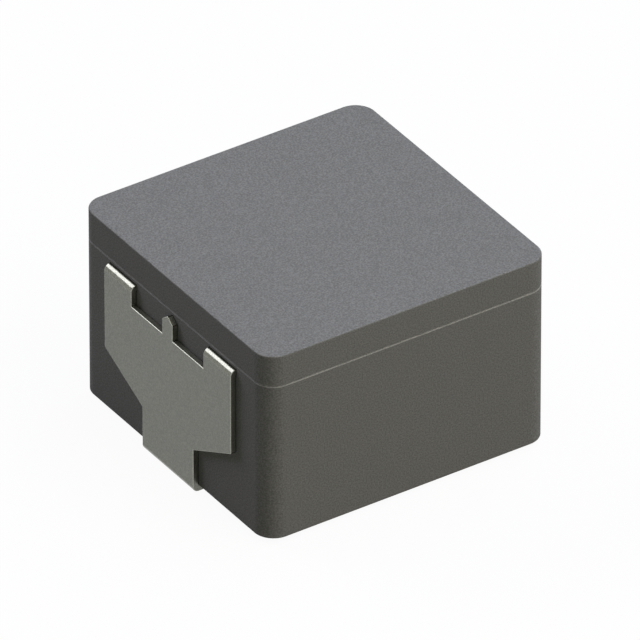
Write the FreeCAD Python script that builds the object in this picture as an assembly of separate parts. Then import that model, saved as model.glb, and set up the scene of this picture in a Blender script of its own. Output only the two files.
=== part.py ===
import FreeCAD, Part

import math
import os

from FreeCAD import Vector

# Shielded surface-mount power inductor, in millimetres.
# A pressed iron-powder core in two pieces, a deep cup with a centre post and a flat lid, closes
# round an edgewise-wound flat-wire coil. A folded sheet terminal hangs by two tabs on each end
# of the cup and folds under it into a solder foot.
# +Z is up and the board is at z = 0. The origin is on the board under the middle of the core,
# X runs from terminal to terminal and Y runs along the width of the terminals.

# Core, outside
core_length = 12.6
core_width = 12.6
core_height = 8.12
lid_thickness = 1.335
corner_radius = 0.85
joint_chamfer = 0.05
lid_chamfer = 0.05
base_chamfer = 0.025

# Terminal sheet and its folds
sheet_thickness = 0.25
side_gap = 0.01
foot_gap = 0.01
tab_fold_radius = 0.26
foot_fold_radius = 0.26

# Terminal outline, seen from the end
plate_width = 8.525
tab_width = 1.835
tab_drop = 0.158
notch_depth = 0.882
finger_width = 0.69
finger_rise = 0.05
finger_chamfer_width = 0.31
finger_chamfer_height = 0.25
shoulder_height = 2.944
neck_height = 1.67
foot_width = 3.44
foot_length = 2.30

# Coil of flat wire, wound on edge
wire_width = 1.60
wire_thickness = 0.40
turn_gap = 0.10
turns = 9
lead_fold_radius = 0.25
weld_length = 0.80

# Clearances inside the core
post_clearance = 0.15
window_clearance = 0.25
floor_clearance = 0.15
pocket_clearance = 0.10
pocket_wall = 0.70
slit_clearance = 0.02

# Levels
core_bottom = foot_gap + sheet_thickness
core_top = core_bottom + core_height
joint_level = core_top - lid_thickness
tab_top = joint_level - tab_drop
tab_bottom = tab_top - sheet_thickness

# Coil and window, across the core: the leads run out under the middle of the tabs
coil_radius = (plate_width - tab_width) / 2
lead_inner_y = coil_radius - wire_width / 2
lead_outer_y = coil_radius + wire_width / 2
post_radius = lead_inner_y - post_clearance
window_radius = lead_outer_y + window_clearance
riser_inner_x = math.sqrt(window_radius ** 2 - lead_inner_y ** 2)
riser_outer_x = riser_inner_x + wire_thickness
lead_end_x = core_length / 2 - pocket_wall - pocket_clearance

# Coil and window, in height: the top lead carries the tabs
pitch = wire_thickness + turn_gap
coil_top = tab_bottom
coil_bottom = coil_top - turns * pitch - wire_thickness
window_floor = coil_bottom - floor_clearance

# Terminal, from the middle of the core to its outer face
plate_outer_x = core_length / 2 + side_gap + sheet_thickness
tab_inner_x = lead_end_x - weld_length
foot_inner_x = plate_outer_x - foot_length

UP = Vector(0, 0, 1)
EPSILON = 1e-6


def box(low, high):
    """Box between two opposite corners."""
    low = Vector(*low)
    size = Vector(*high) - low
    return Part.makeBox(size.x, size.y, size.z, low)


def prism(points, direction):
    """Straight-sided solid: a closed outline of points, pushed along a direction."""
    outline = Part.makePolygon(points + points[:1])
    return Part.Face(outline).extrude(direction)


def level_edges(solid, level):
    """Edges that lie flat at one level."""
    flat = []
    for edge in solid.Edges:
        bounds = edge.BoundBox
        if abs(bounds.ZMin - level) < EPSILON and abs(bounds.ZMax - level) < EPSILON:
            flat.append(edge)
    return flat


def rounded_block(bottom, top):
    """The core's outline with its rounded upright corners, between two levels."""
    block = box((-core_length / 2, -core_width / 2, bottom), (core_length / 2, core_width / 2, top))
    upright = []
    for edge in block.Edges:
        if edge.BoundBox.ZLength > EPSILON:
            upright.append(edge)
    return block.makeFillet(corner_radius, upright)


def window():
    """Ring-shaped room for the coil round the post, with a pocket for each lead."""
    y_low = lead_inner_y - pocket_clearance
    y_high = lead_outer_y + pocket_clearance
    lead_floor = coil_top - wire_thickness - pocket_clearance
    riser_reach = riser_outer_x + lead_fold_radius + pocket_clearance
    lead_reach = lead_end_x + pocket_clearance
    room = Part.makeCylinder(window_radius, joint_level - window_floor, Vector(0, 0, window_floor))
    riser_pocket = box((0, y_low, window_floor), (riser_reach, y_high, joint_level))
    lead_pocket = box((-lead_reach, y_low, lead_floor), (lead_reach, y_high, joint_level))
    post = Part.makeCylinder(post_radius, core_height, Vector(0, 0, core_bottom))
    return room.fuse([riser_pocket, lead_pocket]).cut(post)


def tab_slit(side, y_side):
    """Slit through the end wall for one tab."""
    x_inner = side * (tab_inner_x - slit_clearance)
    x_outer = side * (core_length / 2 + side_gap)
    y_outer = y_side * (plate_width / 2 + slit_clearance)
    y_inner = y_side * (plate_width / 2 - tab_width - slit_clearance)
    low = (min(x_inner, x_outer), min(y_inner, y_outer), tab_bottom - slit_clearance)
    high = (max(x_inner, x_outer), max(y_inner, y_outer), tab_top + slit_clearance)
    return box(low, high)


def lower_core():
    """Cup with its centre post, winding window, lead pockets and four tab slits."""
    block = rounded_block(core_bottom, joint_level)
    block = block.makeChamfer(base_chamfer, level_edges(block, core_bottom))
    block = block.makeChamfer(joint_chamfer, level_edges(block, joint_level))
    slits = []
    for side in (-1, 1):
        for y_side in (-1, 1):
            slits.append(tab_slit(side, y_side))
    return block.cut([window()] + slits)


def upper_core():
    """Flat lid, chamfered where it meets the cup and round its top edge."""
    block = rounded_block(joint_level, core_top)
    block = block.makeChamfer(lid_chamfer, level_edges(block, core_top))
    return block.makeChamfer(joint_chamfer, level_edges(block, joint_level))


def fold(centre, radius, start_angle, end_angle):
    """Quarter of a ring of sheet or wire in the XZ plane, from its outer radius inwards."""
    thickness, outer = radius
    inner = outer - thickness
    middle = (start_angle + end_angle) / 2
    points = []
    outward = [(outer, start_angle), (outer, middle), (outer, end_angle)]
    inward = [(inner, end_angle), (inner, middle), (inner, start_angle)]
    for distance, angle in outward + inward:
        turned = math.radians(angle)
        points.append(centre + Vector(distance * math.cos(turned), 0, distance * math.sin(turned)))
    outline = [
        Part.Arc(points[0], points[1], points[2]).toShape(),
        Part.LineSegment(points[2], points[3]).toShape(),
        Part.Arc(points[3], points[4], points[5]).toShape(),
        Part.LineSegment(points[5], points[0]).toShape(),
    ]
    return Part.Face(Part.Wire(outline))


def strip(x_range, z_range):
    """Straight run of sheet or wire in the XZ plane."""
    x_low, x_high = x_range
    z_low, z_high = z_range
    corners = [
        Vector(x_low, 0, z_low),
        Vector(x_high, 0, z_low),
        Vector(x_high, 0, z_high),
        Vector(x_low, 0, z_high),
    ]
    return Part.Face(Part.makePolygon(corners + corners[:1]))


def ribbon(sections, y_low, y_high):
    """Runs and folds pushed across Y and joined into one strip."""
    pieces = []
    for section in sections:
        piece = section.extrude(Vector(0, y_high - y_low, 0))
        piece.translate(Vector(0, y_low, 0))
        pieces.append(piece)
    return pieces[0].fuse(pieces[1:]).removeSplitter()


def folded_sheet():
    """Terminal before its outline is cut: tab run, plate and foot with their two folds."""
    plate_inner_x = plate_outer_x - sheet_thickness
    tab_fold_x = plate_outer_x - tab_fold_radius
    tab_fold_z = tab_top - tab_fold_radius
    foot_fold_x = plate_outer_x - foot_fold_radius
    faces = [
        strip((tab_inner_x, tab_fold_x), (tab_bottom, tab_top)),
        fold(Vector(tab_fold_x, 0, tab_fold_z), (sheet_thickness, tab_fold_radius), 90, 0),
        strip((plate_inner_x, plate_outer_x), (foot_fold_radius, tab_fold_z)),
        fold(Vector(foot_fold_x, 0, foot_fold_radius), (sheet_thickness, foot_fold_radius), 0, -90),
        strip((foot_inner_x, foot_fold_x), (0, sheet_thickness)),
    ]
    return ribbon(faces, -plate_width / 2, plate_width / 2)


def mirrored_outline(half):
    """Closed outline in the YZ plane from the points of its +Y half, listed from top to bottom."""
    right = [Vector(0, y, z) for y, z in half]
    left = [Vector(0, -y, z) for y, z in reversed(half)]
    return right + left


def plate_outline():
    """Outline of the plate, its tabs, its tapered shoulders and its foot, seen from the end."""
    tab_inner_y = plate_width / 2 - tab_width
    notch_floor = tab_top - notch_depth
    above = core_top
    below = -core_bottom
    return mirrored_outline([
        (tab_inner_y, notch_floor),
        (tab_inner_y, above),
        (plate_width / 2, above),
        (plate_width / 2, core_bottom + shoulder_height),
        (foot_width / 2, core_bottom + neck_height),
        (foot_width / 2, below),
    ])


def finger_outline():
    """Outline of the free middle finger with its pointed tip, seen from the end."""
    finger_top = tab_top + finger_rise
    return mirrored_outline([
        (finger_width / 2 - finger_chamfer_width, finger_top),
        (finger_width / 2, finger_top - finger_chamfer_height),
        (finger_width / 2, tab_top - notch_depth - sheet_thickness),
    ])


def terminal(side):
    """One folded terminal, hung on the end of the core on the given side of X."""
    cutter = prism(plate_outline(), Vector(2 * plate_outer_x, 0, 0))
    finger = prism(finger_outline(), Vector(sheet_thickness, 0, 0))
    finger.translate(Vector(plate_outer_x - sheet_thickness, 0, 0))
    piece = folded_sheet().common(cutter).fuse(finger).removeSplitter()
    if side < 0:
        piece.rotate(Vector(0, 0, 0), UP, 180)
    return piece


def helix_turns():
    """The wound part of the coil, from the bottom lead to the top lead, both at x = 0."""
    path = Part.makeHelix(pitch, turns * pitch, coil_radius)
    path.rotate(Vector(0, 0, 0), UP, 90)
    path.translate(Vector(0, 0, coil_bottom))
    corners = [
        Vector(0, lead_inner_y, coil_bottom),
        Vector(0, lead_outer_y, coil_bottom),
        Vector(0, lead_outer_y, coil_bottom + wire_thickness),
        Vector(0, lead_inner_y, coil_bottom + wire_thickness),
    ]
    sweep = Part.BRepOffsetAPI.MakePipeShell(path)
    sweep.setBiNormalMode(UP)
    sweep.add(Part.makePolygon(corners + corners[:1]))
    sweep.build()
    sweep.makeSolid()
    return sweep.shape()


def rising_lead():
    """Bottom lead: out along the floor, up beside the coil and out again under the tab."""
    outer_fold = lead_fold_radius + wire_thickness
    low_fold_x = riser_outer_x - outer_fold
    low_fold_z = coil_bottom + outer_fold
    high_fold_x = riser_inner_x + outer_fold
    high_fold_z = coil_top - outer_fold
    faces = [
        strip((0, low_fold_x), (coil_bottom, coil_bottom + wire_thickness)),
        fold(Vector(low_fold_x, 0, low_fold_z), (wire_thickness, outer_fold), -90, 0),
        strip((riser_inner_x, riser_outer_x), (low_fold_z, high_fold_z)),
        fold(Vector(high_fold_x, 0, high_fold_z), (wire_thickness, outer_fold), 180, 90),
        strip((high_fold_x, lead_end_x), (coil_top - wire_thickness, coil_top)),
    ]
    return ribbon(faces, lead_inner_y, lead_outer_y)


def coil_winding():
    """Flat wire wound on edge, with a straight top lead and a folded bottom lead."""
    top_lead = box((-lead_end_x, lead_inner_y, coil_top - wire_thickness), (0, lead_outer_y, coil_top))
    return helix_turns().fuse([top_lead, rising_lead()])


def write_part(name, shape):
    """Write one sub-part as a solid to its own file."""
    solid = shape.Solids[0]
    solid.exportStep(os.path.join("parts", name + ".step"))
    print(name, "valid", solid.isValid(), "solids", len(shape.Solids), "volume", round(solid.Volume, 3))


def main():
    """Build every sub-part and write it."""
    os.makedirs("parts", exist_ok=True)
    write_part("lower_core", lower_core())
    write_part("upper_core", upper_core())
    write_part("coil_winding", coil_winding())
    write_part("terminal_left", terminal(-1))
    write_part("terminal_right", terminal(1))


main()
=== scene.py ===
import math

import bmesh
import bpy
from mathutils import Matrix, Vector


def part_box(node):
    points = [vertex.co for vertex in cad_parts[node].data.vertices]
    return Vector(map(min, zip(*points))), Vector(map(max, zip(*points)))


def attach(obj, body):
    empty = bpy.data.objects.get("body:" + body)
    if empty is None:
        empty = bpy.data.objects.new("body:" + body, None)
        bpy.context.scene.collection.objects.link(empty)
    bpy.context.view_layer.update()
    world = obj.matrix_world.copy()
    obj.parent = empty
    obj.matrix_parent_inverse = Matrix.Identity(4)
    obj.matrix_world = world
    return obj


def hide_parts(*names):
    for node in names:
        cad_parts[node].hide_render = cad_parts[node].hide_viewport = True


bl_info = {
    "name": "Shielded Surface-Mount Inductor",
    "version": (1, 0, 0),
    "blender": (4, 5, 0),
    "location": "3D View > Sidebar > Inductor",
    "description": "Builds the finish of a shielded surface-mount power inductor round its packed frame",
    "category": "Object",
}

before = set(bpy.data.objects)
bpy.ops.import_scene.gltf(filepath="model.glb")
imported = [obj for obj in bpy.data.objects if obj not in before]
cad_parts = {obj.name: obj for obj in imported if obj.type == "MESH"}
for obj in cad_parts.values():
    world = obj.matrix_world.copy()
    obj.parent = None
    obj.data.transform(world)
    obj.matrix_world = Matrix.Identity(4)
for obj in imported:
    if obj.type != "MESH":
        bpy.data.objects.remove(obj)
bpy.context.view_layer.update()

MM = 0.001
BODY = "root"
CUP_LOW, CUP_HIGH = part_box("lower_core")
LID_LOW, LID_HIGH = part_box("upper_core")
COIL_LOW, COIL_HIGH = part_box("coil_winding")
TERMINAL_LOW, TERMINAL_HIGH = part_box("terminal_right")
SLACK = 0.001 * MM
QUARTER_TURN = math.pi / 2
FULL_TURN = 2 * math.pi
Y_AXIS = Vector((0, 1, 0))
Z_AXIS = Vector((0, 0, 1))

CORNER_STEPS = 16
CHAMFER_STEPS = 2
FOLD_STEPS = 10
TURN_STEPS = 64
ROD_STEPS = 96
ROUNDING_STEPS = 3
SHARP_ANGLE = math.radians(35)
SMOOTH_COSINE = math.cos(math.radians(50))
SIDES = (-1, 1)
# Face layer that lightens edges: worn chamfers on the core, and painted highlights on the joint and on the terminals'
# rounded edges.
WEAR_AND_HIGHLIGHT_LAYER = "edge_wear_and_highlight"
CUT_LAYER = "cut_edge"
FLAT_LAYER = "flat_face"

GRAIN_SIZE = 0.06 * MM
ROUGHNESS_SPREAD = 0.03

FLOOR_REACH = 0.5
FLOOR_DROP = 0.01 * MM
FLOOR_WHITE = 0.95
PALE = (0.9, 0.9, 0.9, 1)
WHITE = (1, 1, 1, 1)
AMBIENT_TINT = (1.0, 1.0, 0.85, 1)

CAMERA_AZIMUTH = math.radians(-33.5961)
CAMERA_ELEVATION = math.radians(34.0990)
CAMERA_DISTANCE = 778.158 * MM
CAMERA_SHIFT_RIGHT = 0.1947 * MM
CAMERA_SHIFT_UP = 3.3741 * MM
FOCAL_PIXELS = 20862.6
FRAME_PIXELS = 640
SENSOR = 36.0

LAMP_DISTANCE = 0.60
# Each lamp's direction from the part, the way its height runs, its width and height, and its tint
LAMPS = {
    "back_lamp": ((-0.35, 0.69, 0.63), (0.6, 0, 0.33), (0.18, 0.40), (0.92, 0.90, 1.0)),
    "front_lamp": ((0.27, -0.62, 0.75), (0, 0, 1), (0.40, 0.40), (1.0, 0.959, 0.841)),
    "top_lamp": ((0.45, 0.10, 0.88), (1, 0, 0), (0.40, 0.40), (0.6725, 0.771, 1.0)),
}


def length(name, description, default):
    """A length that a user can change, in metres."""
    return bpy.props.FloatProperty(
        name=name, description=description, default=default, min=0, precision=5, subtype="DISTANCE", unit="LENGTH"
    )


def colour(name, description, default):
    """A colour that a user can change."""
    return bpy.props.FloatVectorProperty(
        name=name, description=description, default=default, size=3, min=0, max=1, subtype="COLOR"
    )


def share(name, description, default):
    """A plain factor that a user can change."""
    return bpy.props.FloatProperty(name=name, description=description, default=default, min=0, precision=3)


class CoreSettings(bpy.types.PropertyGroup):
    """Sizes and colour of the pressed powder core."""

    corner_radius: length("Corner Radius", "Radius of the core's four upright corners", 0.85 * MM)
    joint_chamfer: length("Joint Chamfer", "Chamfers of the cup and the lid where they meet", 0.05 * MM)
    lid_chamfer: length("Lid Chamfer", "Chamfer round the lid's top face", 0.05 * MM)
    base_chamfer: length("Base Chamfer", "Chamfer round the cup's bottom face", 0.025 * MM)
    post_clearance: length("Post Clearance", "Gap between the centre post and the coil", 0.15 * MM)
    window_clearance: length("Window Clearance", "Gap between the coil and the wall of its window", 0.25 * MM)
    floor_clearance: length("Floor Clearance", "Gap under the coil", 0.15 * MM)
    pocket_clearance: length("Pocket Clearance", "Gap round the coil's leads", 0.10 * MM)
    slit_clearance: length("Slit Clearance", "Gap round each terminal tab in the wall", 0.02 * MM)
    powder_colour: colour("Powder Colour", "Colour of the pressed iron powder", (0.2, 0.2, 0.2))
    grain: share("Grain", "How far the grain lightens and darkens the powder", 0.22)
    # The joint chamfers are lightened as worn edges and, mostly, as a painted highlight along the seam line.
    joint_wear_and_highlight: share("Joint Wear", "How worn the chamfers at the joint are", 0.95)
    rim_wear: share("Rim Wear", "How worn the other chamfers are", 0.1)


class TerminalSettings(bpy.types.PropertyGroup):
    """Outline, folds and colour of the two sheet terminals."""

    sheet_thickness: length("Sheet Thickness", "Thickness of the tinned sheet", 0.25 * MM)
    tab_fold: length("Tab Fold", "Outer radius of the fold at the tabs", 0.26 * MM)
    foot_fold: length("Foot Fold", "Outer radius of the fold at the foot", 0.26 * MM)
    tab_width: length("Tab Width", "Width of each tab", 1.835 * MM)
    tab_drop: length("Tab Drop", "Height of the joint over the tabs' upper face", 0.158 * MM)
    weld_length: length("Weld Length", "Overlap of a tab and the coil's lead", 0.80 * MM)
    notch_depth: length("Notch Depth", "Depth of the notches from the tabs' upper face", 0.882 * MM)
    finger_width: length("Finger Width", "Width of the middle finger", 0.69 * MM)
    finger_chamfer_width: length("Finger Chamfer Width", "Width of the chamfers on the finger's tip", 0.31 * MM)
    finger_chamfer_height: length("Finger Chamfer Height", "Height of the chamfers on the finger's tip", 0.25 * MM)
    shoulder_height: length("Shoulder Height", "Height of the plate's lower corners over the core's base", 2.944 * MM)
    neck_height: length("Neck Height", "Height over the core's base at which the shoulders meet the neck", 1.67 * MM)
    foot_width: length("Foot Width", "Width of the neck and of the foot", 3.44 * MM)
    edge_rounding: length("Edge Rounding", "Rounding of the sheet's cut edges", 0.03 * MM)
    tin_colour: colour("Tin Colour", "Colour of the tin plating", (0.178, 0.183, 0.156))
    grain: share("Grain", "How far the grain lightens and darkens the tin", 0.25)
    fold_roughness: share("Fold Roughness", "Roughness of the burnished folds and rounded edges", 0.20)
    flat_roughness: share("Flat Roughness", "Roughness of the flat and cut faces", 0.35)
    flat_dullness: share("Flat Dullness", "How far flat and cut faces scatter light like a matt face", 0.42)
    # Painted light: the cut faces are lightened to stand for light that falls on them.
    cut_painted_light: share("Cut Lightness", "How much lighter the cut faces are than the rolled ones", 0.2)
    # Painted highlight: the tin's rounded edges are lightened to stand for the glint they catch.
    edge_painted_highlight: share("Edge Shine", "How much brighter the rounded edges are", 0.4)


class WindingSettings(bpy.types.PropertyGroup):
    """Sizes and colour of the flat-wire coil."""

    wire_width: length("Wire Width", "Width of the flat wire, across the coil", 1.60 * MM)
    wire_thickness: length("Wire Thickness", "Thickness of the flat wire, along the coil", 0.40 * MM)
    wire_rounding: length("Wire Rounding", "Rounding of the wire's edges", 0.06 * MM)
    lead_fold: length("Lead Fold", "Inner radius of the folds in the rising lead", 0.25 * MM)
    turns: bpy.props.IntProperty(name="Turns", description="Number of whole turns", default=9, min=1)
    copper_colour: colour("Copper Colour", "Colour of the enamelled copper", (0.62, 0.24, 0.10))


class StageSettings(bpy.types.PropertyGroup):
    """Light, floor and camera."""

    back_light: share("Back Light", "Light of the softbox behind, which draws the highlights on the folds", 0.335)
    front_light: share("Front Light", "Light of the softbox in front", 0.641)
    top_light: share("Top Light", "Light of the cool softbox overhead", 0.466)
    ambient: share("Ambient", "Light from all round", 0.08)
    floor_colour: colour("Floor Colour", "Colour that the floor throws back on the part", (0.22, 0.22, 0.178))


def new_piece(name, bm, material, node):
    """Turn a finished bmesh into a smooth-shaded piece that stands for a node of the frame."""
    mesh = bpy.data.meshes.new(name)
    bm.to_mesh(mesh)
    bm.free()
    mesh.shade_smooth()
    piece = bpy.data.objects.new(name, mesh)
    bpy.context.collection.objects.link(piece)
    mesh.materials.append(material)
    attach(piece, BODY)
    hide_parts(node)
    return piece


def even_normals(piece):
    """Keep the large faces flat in the shading, so that only the narrow edge faces turn.

    Each corner takes the normals of the faces round it, weighed by area, up to a sharp bend.
    """
    mesh = piece.data
    around = [[] for _ in mesh.vertices]
    for face in mesh.polygons:
        for index in face.vertices:
            around[index].append((face.normal.copy(), face.area / MM ** 2))
    normals = []
    for face in mesh.polygons:
        for index in face.vertices:
            near = [normal * area for normal, area in around[index] if normal.dot(face.normal) > SMOOTH_COSINE]
            normals.append(sum(near, Vector()).normalized())
    mesh.normals_split_custom_set(normals)


def block_mesh(low, high):
    """Box between two corners."""
    bm = bmesh.new()
    bmesh.ops.create_cube(bm, size=1)
    bmesh.ops.scale(bm, vec=high - low, verts=bm.verts)
    bmesh.ops.translate(bm, vec=(low + high) / 2, verts=bm.verts)
    return bm


def rod_mesh(radius, low, high):
    """Upright cylinder round the Z axis."""
    bm = bmesh.new()
    bmesh.ops.create_cone(bm, cap_ends=True, segments=ROD_STEPS, radius1=radius, radius2=radius, depth=high - low)
    bmesh.ops.translate(bm, vec=(0, 0, (low + high) / 2), verts=bm.verts)
    return bm


def bevel_edges(bm, edges, width, segments):
    """Bevel chosen edges and return the new faces."""
    made = bmesh.ops.bevel(
        bm, geom=edges, offset=width, offset_type="OFFSET", segments=segments, profile=0.5, affect="EDGES",
        material=-1, clamp_overlap=False,
    )
    return made["faces"]


def level_edges(bm, level):
    """Edges that lie at one level."""
    return [e for e in bm.edges if all(abs(v.co.z - level) < SLACK for v in e.verts)]


def upright_edges(bm):
    """Edges that run along Z."""
    return [e for e in bm.edges if abs(e.verts[0].co.z - e.verts[1].co.z) > SLACK]


def core_block(low, high, core, chamfers):
    """The core's outline with round upright corners, and a chamfer for each listed level, marked with how far it is
    lightened (worn rims, and at the joint a painted highlight as well).
    """
    bm = block_mesh(low, high)
    wear_and_highlight = bm.faces.layers.float.new(WEAR_AND_HIGHLIGHT_LAYER)
    bevel_edges(bm, upright_edges(bm), core.corner_radius, CORNER_STEPS)
    # Each level's value lightens its chamfer: worn rims, and at the joint a painted highlight too.
    for level, chamfer, worn in chamfers:
        for face in bevel_edges(bm, level_edges(bm, level), chamfer, CHAMFER_STEPS):
            face[wear_and_highlight] = worn
    return bm


def carve(piece, bm, operation="DIFFERENCE"):
    """Cut a shape out of a piece, or join it on, and drop the helper object."""
    mesh = bpy.data.meshes.new("helper")
    bm.to_mesh(mesh)
    bm.free()
    helper = bpy.data.objects.new("helper", mesh)
    bpy.context.collection.objects.link(helper)
    modifier = piece.modifiers.new("Carve", "BOOLEAN")
    modifier.object = helper
    modifier.operation = operation
    modifier.solver = "EXACT"
    depsgraph = bpy.context.evaluated_depsgraph_get()
    carved = bpy.data.meshes.new_from_object(piece.evaluated_get(depsgraph))
    piece.modifiers.remove(modifier)
    piece.data = carved
    bpy.data.objects.remove(helper)


def vertices(geom):
    """The vertices in a list of mixed mesh parts."""
    return [g for g in geom if isinstance(g, bmesh.types.BMVert)]


def push(bm, geom, vector):
    """Extrude a profile or an edge along a vector and return its far end."""
    far = bmesh.ops.extrude_face_region(bm, geom=geom)["geom"]
    bmesh.ops.translate(bm, vec=vector, verts=vertices(far))
    return far


def turn(bm, geom, centre, axis, angle, steps, rise=0):
    """Spin a profile or an edge round an axis, rising evenly if asked, and return its far end."""
    out = bmesh.ops.spin(
        bm, geom=geom, cent=centre, axis=axis, dvec=Z_AXIS * (rise / steps), angle=angle, steps=steps,
        use_merge=False, use_normal_flip=False, use_duplicate=False,
    )
    return out["geom_last"]


def make_node(tree, kind, **inputs):
    """Add a shader node and set inputs by name."""
    node = tree.nodes.new(kind)
    for key, value in inputs.items():
        node.inputs[key.replace("_", " ")].default_value = value
    return node


def noise(tree, place, size, detail=2.0, roughness=0.5):
    """Noise whose blobs are about one size across, in metres."""
    node = make_node(tree, "ShaderNodeTexNoise", Scale=1 / size, Detail=detail, Roughness=roughness)
    tree.links.new(place, node.inputs["Vector"])
    return node.outputs["Fac"]


def spread(tree, source, low, high, from_low=0.3, from_high=0.7):
    """Map a value, such as a noise, onto a range."""
    node = make_node(tree, "ShaderNodeMapRange", From_Min=from_low, From_Max=from_high, To_Min=low, To_Max=high)
    tree.links.new(source, node.inputs["Value"])
    return node.outputs["Result"]


def combine(tree, operation, first, second):
    """Join two values by a sum or a product."""
    node = tree.nodes.new("ShaderNodeMath")
    node.operation = operation
    tree.links.new(first, node.inputs[0])
    tree.links.new(second, node.inputs[1])
    return node.outputs["Value"]


def face_value(tree, layer):
    """Value that the mesh stores for each face."""
    node = tree.nodes.new("ShaderNodeAttribute")
    node.attribute_name = layer
    return node.outputs["Fac"]


def by_mark(tree, layer, plain, marked):
    """Value that differs on the faces that a layer marks."""
    return spread(tree, face_value(tree, layer), plain, marked, 0.0, 1.0)


def tinted(tree, base, factor):
    """Lighten or darken a plain colour by a factor."""
    node = tree.nodes.new("ShaderNodeVectorMath")
    node.operation = "SCALE"
    node.inputs[0].default_value = base
    tree.links.new(factor, node.inputs["Scale"])
    return node.outputs["Vector"]


def relief(tree, height, distance, strength):
    """Surface relief from a height."""
    node = make_node(tree, "ShaderNodeBump", Strength=strength, Distance=distance)
    tree.links.new(height, node.inputs["Height"])
    return node.outputs["Normal"]


def start_material(name):
    """Empty node material with its tree, its main shader and Object coordinates."""
    material = bpy.data.materials.new(name)
    material.use_nodes = True
    tree = material.node_tree
    coords = tree.nodes.new("ShaderNodeTexCoord")
    return material, tree, tree.nodes["Principled BSDF"], coords.outputs["Object"]


def powder_material(core):
    """Pressed iron powder: fine grain, a faint cloud of tone and lighter chamfers: worn at the lid's top and the
    base, and at the joint worn and lightened further as a painted highlight along the seam.
    """
    material, tree, shader, place = start_material("pressed_powder")
    grain = noise(tree, place, GRAIN_SIZE, 1.0, 0.5)
    cloud = noise(tree, place, 0.9 * MM)
    scuffs = noise(tree, place, 0.12 * MM)
    # Lightening of the marked chamfers: worn edges, and along the joint a painted highlight.
    rubbed_and_highlight = combine(tree, "MULTIPLY", face_value(tree, WEAR_AND_HIGHLIGHT_LAYER), spread(tree, scuffs, 0.5, 1.0))
    tone = combine(
        tree, "MULTIPLY", spread(tree, grain, 1 - core.grain, 1 + core.grain), spread(tree, cloud, 0.985, 1.015)
    )
    tree.links.new(tinted(tree, core.powder_colour, combine(tree, "ADD", tone, rubbed_and_highlight)), shader.inputs["Base Color"])
    tree.links.new(spread(tree, grain, 0.85, 0.70), shader.inputs["Roughness"])
    tree.links.new(relief(tree, grain, 0.003 * MM, 0.5), shader.inputs["Normal"])
    shader.inputs["Specular IOR Level"].default_value = 0.12
    return material


def tin_material(terminal):
    """Tin plating with a fine grain: dull flat faces and burnished folds, with painted light on the cut faces and a
    painted highlight on the rounded edges.
    """
    material, tree, shader, place = start_material("tin_plating")
    grain = noise(tree, place, GRAIN_SIZE, 1.0, 0.5)
    tone = spread(tree, grain, 1 - terminal.grain, 1 + terminal.grain)
    # Painted highlight on the rounded edges.
    tone = combine(tree, "MULTIPLY", tone, by_mark(tree, WEAR_AND_HIGHLIGHT_LAYER, 1.0, 1 + terminal.edge_painted_highlight))
    # Painted light on the cut faces.
    tone = combine(tree, "MULTIPLY", tone, by_mark(tree, CUT_LAYER, 1.0, 1 + terminal.cut_painted_light))
    tree.links.new(tinted(tree, terminal.tin_colour, tone), shader.inputs["Base Color"])
    smooth = terminal.fold_roughness
    satin = spread(tree, grain, smooth - ROUGHNESS_SPREAD, smooth + ROUGHNESS_SPREAD)
    matt = by_mark(tree, FLAT_LAYER, 0.0, terminal.flat_roughness - smooth)
    tree.links.new(combine(tree, "ADD", satin, matt), shader.inputs["Roughness"])
    tree.links.new(relief(tree, grain, 0.001 * MM, 0.4), shader.inputs["Normal"])
    tree.links.new(by_mark(tree, FLAT_LAYER, 1.0, 1 - terminal.flat_dullness), shader.inputs["Metallic"])
    return material


def copper_material(winding):
    """Copper wire under a thin clear enamel."""
    material, tree, shader, place = start_material("enamelled_copper")
    cloud = noise(tree, place, 0.5 * MM)
    grain = noise(tree, place, 0.05 * MM)
    tree.links.new(tinted(tree, winding.copper_colour, spread(tree, cloud, 0.9, 1.1)), shader.inputs["Base Color"])
    tree.links.new(spread(tree, grain, 0.30, 0.42), shader.inputs["Roughness"])
    tree.links.new(relief(tree, grain, 0.002 * MM, 0.3), shader.inputs["Normal"])
    shader.inputs["Metallic"].default_value = 1.0
    shader.inputs["Coat Weight"].default_value = 0.6
    shader.inputs["Coat Roughness"].default_value = 0.12
    return material


def shared_material(name, make, settings):
    """Material by name, made once and then shared."""
    return bpy.data.materials.get(name) or make(settings)


def lead_band(terminal, winding):
    """Lowest and highest Y of the coil's leads, which run under the middle of the tabs."""
    coil_radius = TERMINAL_HIGH.y - terminal.tab_width / 2
    return coil_radius - winding.wire_width / 2, coil_radius + winding.wire_width / 2


def riser_x(core, terminal, winding):
    """Inner face of the rising lead, just outside the coil's window."""
    y_low, y_high = lead_band(terminal, winding)
    return math.sqrt((y_high + core.window_clearance) ** 2 - y_low ** 2)


class INDUCTOR_OT_lid(bpy.types.Operator):
    """Build the lid of the core"""

    bl_idname = "inductor.lid"
    bl_label = "Build Lid"

    def execute(self, context):
        core = context.scene.inductor_core
        material = shared_material("pressed_powder", powder_material, core)
        chamfers = (
            (LID_LOW.z, core.joint_chamfer, core.joint_wear_and_highlight),
            (LID_HIGH.z, core.lid_chamfer, core.rim_wear),
        )
        bm = core_block(LID_LOW, LID_HIGH, core, chamfers)
        even_normals(new_piece("lid", bm, material, "upper_core"))
        return {"FINISHED"}


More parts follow.
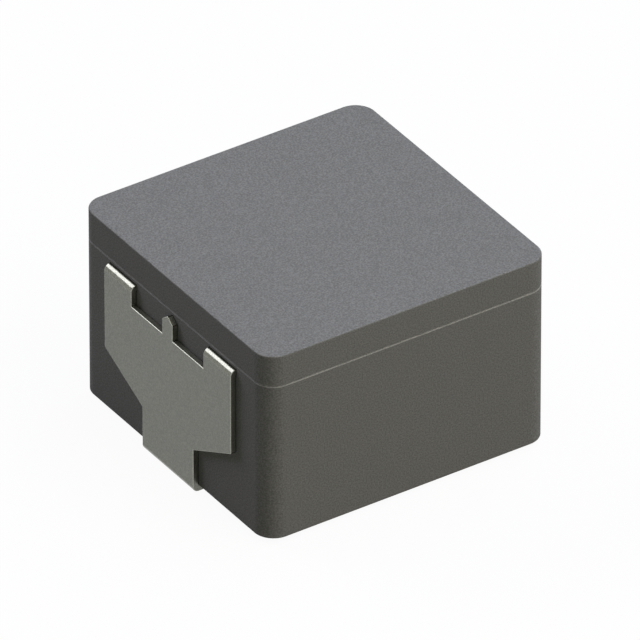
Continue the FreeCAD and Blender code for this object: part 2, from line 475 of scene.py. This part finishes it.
def carve_window(piece, core, terminal, winding):
    """Cut the ring-shaped room for the coil, with its post and the pockets for the leads."""
    above = CUP_HIGH.z + core.corner_radius
    floor = COIL_LOW.z - core.floor_clearance
    gap = core.pocket_clearance
    y_low, y_high = lead_band(terminal, winding)
    riser_reach = riser_x(core, terminal, winding) + winding.wire_thickness + winding.lead_fold + gap
    lead_floor = COIL_HIGH.z - winding.wire_thickness - gap
    carve(piece, rod_mesh(y_high + core.window_clearance, floor, above))
    riser_high = Vector((riser_reach, y_high + gap, above))
    carve(piece, block_mesh(Vector((0, y_low - gap, floor)), riser_high))
    lead_low = Vector((COIL_LOW.x - gap, y_low - gap, lead_floor))
    carve(piece, block_mesh(lead_low, Vector((COIL_HIGH.x + gap, y_high + gap, above))))
    carve(piece, rod_mesh(y_low - core.post_clearance, floor - core.corner_radius, CUP_HIGH.z), "UNION")


def carve_slits(piece, core, terminal):
    """Cut a slit through the end walls for each tab of the terminals."""
    gap = core.slit_clearance
    tab_top = CUP_HIGH.z - terminal.tab_drop
    for side in SIDES:
        x_ends = sorted((side * (COIL_HIGH.x - terminal.weld_length - gap), side * TERMINAL_HIGH.x))
        for y_side in SIDES:
            y_ends = sorted((y_side * (TERMINAL_HIGH.y - terminal.tab_width - gap), y_side * (TERMINAL_HIGH.y + gap)))
            low = Vector((x_ends[0], y_ends[0], tab_top - terminal.sheet_thickness - gap))
            carve(piece, block_mesh(low, Vector((x_ends[1], y_ends[1], tab_top + gap))))


class INDUCTOR_OT_cup(bpy.types.Operator):
    """Build the cup of the core with its post, window, pockets and slits"""

    bl_idname = "inductor.cup"
    bl_label = "Build Cup"

    def execute(self, context):
        core = context.scene.inductor_core
        terminal = context.scene.inductor_terminal
        material = shared_material("pressed_powder", powder_material, core)
        chamfers = (
            (CUP_LOW.z, core.base_chamfer, core.rim_wear),
            (CUP_HIGH.z, core.joint_chamfer, core.joint_wear_and_highlight),
        )
        bm = core_block(CUP_LOW, CUP_HIGH, core, chamfers)
        piece = new_piece("cup", bm, material, "lower_core")
        carve_window(piece, core, terminal, context.scene.inductor_winding)
        carve_slits(piece, core, terminal)
        even_normals(piece)
        return {"FINISHED"}


class INDUCTOR_OT_winding(bpy.types.Operator):
    """Wind the coil of flat wire and fold its leads"""

    bl_idname = "inductor.winding"
    bl_label = "Wind Coil"

    def execute(self, context):
        core = context.scene.inductor_core
        terminal = context.scene.inductor_terminal
        winding = context.scene.inductor_winding
        thick = winding.wire_thickness
        y_low, y_high = lead_band(terminal, winding)
        rise = COIL_HIGH.z - COIL_LOW.z - thick
        bm = bmesh.new()
        corners = ((y_low, 0), (y_high, 0), (y_high, thick), (y_low, thick))
        section = bm.faces.new([bm.verts.new((0, y, COIL_LOW.z + z)) for y, z in corners])
        bmesh.ops.bevel(
            bm, geom=section.verts[:], offset=winding.wire_rounding, offset_type="OFFSET", segments=2, profile=0.5,
            affect="VERTICES", material=-1, clamp_overlap=True,
        )
        whole = bm.faces[:] + bm.edges[:] + bm.verts[:]
        start = bm.faces[:]
        steps = winding.turns * TURN_STEPS
        last = turn(bm, whole, (0, 0, 0), Z_AXIS, FULL_TURN * winding.turns, steps, rise)
        push(bm, last, Vector((COIL_LOW.x, 0, 0)))
        outer_fold = winding.lead_fold + thick
        riser_inner = riser_x(core, terminal, winding)
        low_fold = Vector((riser_inner + thick - outer_fold, 0, COIL_LOW.z + outer_fold))
        high_fold = Vector((riser_inner + outer_fold, 0, COIL_HIGH.z - outer_fold))
        section = start[0]
        lead = push(bm, [section] + section.edges[:] + section.verts[:], Vector((low_fold.x, 0, 0)))
        lead = turn(bm, lead, low_fold, Y_AXIS, -QUARTER_TURN, FOLD_STEPS)
        lead = push(bm, lead, Vector((0, 0, high_fold.z - low_fold.z)))
        lead = turn(bm, lead, high_fold, Y_AXIS, QUARTER_TURN, FOLD_STEPS)
        push(bm, lead, Vector((COIL_HIGH.x - high_fold.x, 0, 0)))
        bmesh.ops.recalc_face_normals(bm, faces=bm.faces)
        material = shared_material("enamelled_copper", copper_material, winding)
        piece = new_piece("winding", bm, material, "coil_winding")
        even_normals(piece)
        return {"FINISHED"}


def plate_outline(terminal):
    """Corners of the upright plate between its folds, seen from the end, as Y and Z."""
    tab_top = CUP_HIGH.z - terminal.tab_drop
    fold_level = tab_top - terminal.tab_fold
    tab_inner = TERMINAL_HIGH.y - terminal.tab_width
    notch = tab_top - terminal.notch_depth
    finger = terminal.finger_width / 2
    half = [
        (terminal.foot_width / 2, terminal.foot_fold),
        (terminal.foot_width / 2, CUP_LOW.z + terminal.neck_height),
        (TERMINAL_HIGH.y, CUP_LOW.z + terminal.shoulder_height),
        (TERMINAL_HIGH.y, fold_level),
        (tab_inner, fold_level),
        (tab_inner, notch),
        (finger, notch),
        (finger, TERMINAL_HIGH.z - terminal.finger_chamfer_height),
        (finger - terminal.finger_chamfer_width, TERMINAL_HIGH.z),
    ]
    return half + [(-y, z) for y, z in reversed(half)]


def folded_strip(bm, level, radius, angle, inner_x):
    """Fold the sheet inwards at the plate's edges that lie at one level, and run it on to an inner end."""
    centre = Vector((TERMINAL_HIGH.x - radius, 0, level))
    for edge in level_edges(bm, level):
        last = turn(bm, [edge] + edge.verts[:], centre, Y_AXIS, angle, FOLD_STEPS)
        push(bm, last, Vector((inner_x - centre.x, 0, 0)))


def terminal_mesh(terminal):
    """Folded sheet on the +X end, thickened inwards from its outer face, with its cut edges rounded."""
    bm = bmesh.new()
    cut = bm.faces.layers.float.new(CUT_LAYER)
    flat = bm.faces.layers.float.new(FLAT_LAYER)
    wear_and_highlight = bm.faces.layers.float.new(WEAR_AND_HIGHLIGHT_LAYER)
    plate = bm.faces.new([bm.verts.new((TERMINAL_HIGH.x, y, z)) for y, z in plate_outline(terminal)])
    fold_level = CUP_HIGH.z - terminal.tab_drop - terminal.tab_fold
    folded_strip(bm, fold_level, terminal.tab_fold, -QUARTER_TURN, COIL_HIGH.x - terminal.weld_length)
    folded_strip(bm, terminal.foot_fold, terminal.foot_fold, QUARTER_TURN, TERMINAL_LOW.x)
    bmesh.ops.remove_doubles(bm, verts=bm.verts, dist=SLACK)
    bmesh.ops.recalc_face_normals(bm, faces=bm.faces)
    plate.normal_update()
    if plate.normal.x < 0:
        bmesh.ops.reverse_faces(bm, faces=bm.faces)
    bmesh.ops.solidify(bm, geom=bm.faces[:], thickness=terminal.sheet_thickness)
    bm.normal_update()
    for face in bm.faces:
        shortest = min(edge.calc_length() for edge in face.edges)
        narrow = len(face.verts) == 4 and shortest < terminal.sheet_thickness + SLACK
        fold = min(abs(face.normal.x), abs(face.normal.z)) > SLACK / MM
        face[flat] = float(not fold)
        # Cut faces are marked for the painted light.
        face[cut] = float(narrow and not fold)
    sharp = [e for e in bm.edges if e.calc_face_angle() > SHARP_ANGLE]
    # The rounded edges are marked for the painted highlight.
    for face in bevel_edges(bm, sharp, terminal.edge_rounding, ROUNDING_STEPS):
        face[flat] = 0
        face[cut] = 0
        face[wear_and_highlight] = 1
    return bm


class INDUCTOR_OT_terminals(bpy.types.Operator):
    """Cut and fold the two sheet terminals"""

    bl_idname = "inductor.terminals"
    bl_label = "Fold Terminals"

    def execute(self, context):
        terminal = context.scene.inductor_terminal
        material = shared_material("tin_plating", tin_material, terminal)
        for name, angle in (("terminal_right", 0), ("terminal_left", math.pi)):
            bm = terminal_mesh(terminal)
            bmesh.ops.rotate(bm, cent=(0, 0, 0), matrix=Matrix.Rotation(angle, 3, "Z"), verts=bm.verts)
            even_normals(new_piece(name + "_sheet", bm, material, name))
        return {"FINISHED"}


def mix_shaders(tree, first, second):
    """Mix of two shaders."""
    mixed = tree.nodes.new("ShaderNodeMixShader")
    tree.links.new(first.outputs[0], mixed.inputs[1])
    tree.links.new(second.outputs[0], mixed.inputs[2])
    return mixed


def seen_rays(tree):
    """Value that is 1 for what the camera, a reflection or clear material sees, and 0 for plain light."""
    path = tree.nodes.new("ShaderNodeLightPath")
    seen = combine(tree, "MAXIMUM", path.outputs["Is Camera Ray"], path.outputs["Is Glossy Ray"])
    return combine(tree, "MAXIMUM", seen, path.outputs["Is Transmission Ray"])


def set_world(stage):
    """Even light from all round, with a white background."""
    world = bpy.data.worlds.new("studio")
    bpy.context.scene.world = world
    world.use_nodes = True
    tree = world.node_tree
    light = tree.nodes["Background"]
    light.inputs["Color"].default_value = AMBIENT_TINT
    light.inputs["Strength"].default_value = stage.ambient
    white = make_node(tree, "ShaderNodeBackground", Color=WHITE, Strength=1.0)
    mixed = mix_shaders(tree, light, white)
    tree.links.new(seen_rays(tree), mixed.inputs[0])
    tree.links.new(mixed.outputs[0], tree.nodes["World Output"].inputs["Surface"])


def floor_material(stage):
    """Floor that looks white and keeps a soft shadow, but throws little light back at the part."""
    material = bpy.data.materials.new("pale_floor")
    material.use_nodes = True
    tree = material.node_tree
    tree.nodes.remove(tree.nodes["Principled BSDF"])
    plain = make_node(tree, "ShaderNodeBsdfDiffuse", Color=(*stage.floor_colour, 1))
    pale = make_node(tree, "ShaderNodeBsdfDiffuse", Color=PALE)
    white = make_node(tree, "ShaderNodeEmission", Color=WHITE, Strength=1.0)
    shown = mix_shaders(tree, pale, white)
    shown.inputs[0].default_value = FLOOR_WHITE
    mixed = mix_shaders(tree, plain, shown)
    tree.links.new(seen_rays(tree), mixed.inputs[0])
    tree.links.new(mixed.outputs[0], tree.nodes["Material Output"].inputs["Surface"])
    return material


def add_floor(stage):
    """Large level floor, just clear of the feet so that the two faces don't flicker."""
    bm = bmesh.new()
    bmesh.ops.create_grid(bm, x_segments=1, y_segments=1, size=FLOOR_REACH)
    bmesh.ops.translate(bm, vec=(0, 0, -FLOOR_DROP), verts=bm.verts)
    mesh = bpy.data.meshes.new("floor")
    bm.to_mesh(mesh)
    bm.free()
    floor = bpy.data.objects.new("floor", mesh)
    bpy.context.collection.objects.link(floor)
    mesh.materials.append(floor_material(stage))


def add_lamp(name, strength):
    """Soft box that faces the part. Strength is the light on a white face turned towards it."""
    direction, along, size, tint = LAMPS[name]
    middle = (LID_HIGH + CUP_LOW) / 2
    lamp = bpy.data.lights.new(name, "AREA")
    lamp.shape = "RECTANGLE"
    lamp.size, lamp.size_y = size
    lamp.energy = strength * (math.pi * LAMP_DISTANCE) ** 2
    lamp.color = tint
    holder = bpy.data.objects.new(name, lamp)
    bpy.context.collection.objects.link(holder)
    facing = Vector(direction).normalized()
    across = Vector(along).cross(facing).normalized()
    turned = Matrix((across, facing.cross(across), facing)).transposed().to_4x4()
    holder.matrix_world = Matrix.Translation(middle + facing * LAMP_DISTANCE) @ turned


def add_camera():
    """Long-lens camera at the photograph's viewing angle."""
    azimuth, elevation = CAMERA_AZIMUTH, CAMERA_ELEVATION
    right = Vector((math.cos(azimuth), math.sin(azimuth), 0))
    back = Vector((
        math.sin(azimuth) * math.cos(elevation), -math.cos(azimuth) * math.cos(elevation), math.sin(elevation)
    ))
    up = back.cross(right)
    place = Vector((0, 0, CUP_LOW.z)) + right * CAMERA_SHIFT_RIGHT + up * CAMERA_SHIFT_UP
    place += back * CAMERA_DISTANCE
    camera = bpy.data.cameras.new("camera")
    camera.sensor_width = SENSOR
    camera.lens = FOCAL_PIXELS / FRAME_PIXELS * SENSOR
    holder = bpy.data.objects.new("camera", camera)
    bpy.context.collection.objects.link(holder)
    turned = Matrix((right, up, back)).transposed().to_4x4()
    holder.matrix_world = Matrix.Translation(place) @ turned
    bpy.context.scene.camera = holder


class INDUCTOR_OT_stage(bpy.types.Operator):
    """Set up the floor, the light and the camera"""

    bl_idname = "inductor.stage"
    bl_label = "Set Stage"

    def execute(self, context):
        stage = context.scene.inductor_stage
        context.scene.view_settings.view_transform = "Standard"
        set_world(stage)
        add_floor(stage)
        add_lamp("back_lamp", stage.back_light)
        add_lamp("front_lamp", stage.front_light)
        add_lamp("top_lamp", stage.top_light)
        add_camera()
        return {"FINISHED"}


class INDUCTOR_PT_panel(bpy.types.Panel):
    """Settings and build steps of the inductor"""

    bl_label = "Inductor"
    bl_idname = "INDUCTOR_PT_panel"
    bl_space_type = "VIEW_3D"
    bl_region_type = "UI"
    bl_category = "Inductor"

    def draw(self, context):
        for name, settings_class, title in SETTINGS:
            box = self.layout.box()
            box.label(text=title)
            settings = getattr(context.scene, name)
            for key in settings_class.__annotations__:
                box.prop(settings, key)
        for operator in OPERATORS:
            self.layout.operator(operator.bl_idname)


SETTINGS = (
    ("inductor_core", CoreSettings, "Core"),
    ("inductor_terminal", TerminalSettings, "Terminals"),
    ("inductor_winding", WindingSettings, "Winding"),
    ("inductor_stage", StageSettings, "Stage"),
)
OPERATORS = (
    INDUCTOR_OT_stage,
    INDUCTOR_OT_lid,
    INDUCTOR_OT_cup,
    INDUCTOR_OT_winding,
    INDUCTOR_OT_terminals,
)


def register():
    for name, settings_class, _ in SETTINGS:
        bpy.utils.register_class(settings_class)
        setattr(bpy.types.Scene, name, bpy.props.PointerProperty(type=settings_class))
    for operator in OPERATORS:
        bpy.utils.register_class(operator)
    bpy.utils.register_class(INDUCTOR_PT_panel)


def unregister():
    bpy.utils.unregister_class(INDUCTOR_PT_panel)
    for operator in reversed(OPERATORS):
        bpy.utils.unregister_class(operator)
    for name, settings_class, _ in reversed(SETTINGS):
        delattr(bpy.types.Scene, name)
        bpy.utils.unregister_class(settings_class)


def main():
    """Register the add-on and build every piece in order."""
    register()
    bpy.ops.inductor.stage()
    bpy.ops.inductor.lid()
    bpy.ops.inductor.cup()
    bpy.ops.inductor.winding()
    bpy.ops.inductor.terminals()
    bpy.context.view_layer.update()


if __name__ == "__main__":
    main()
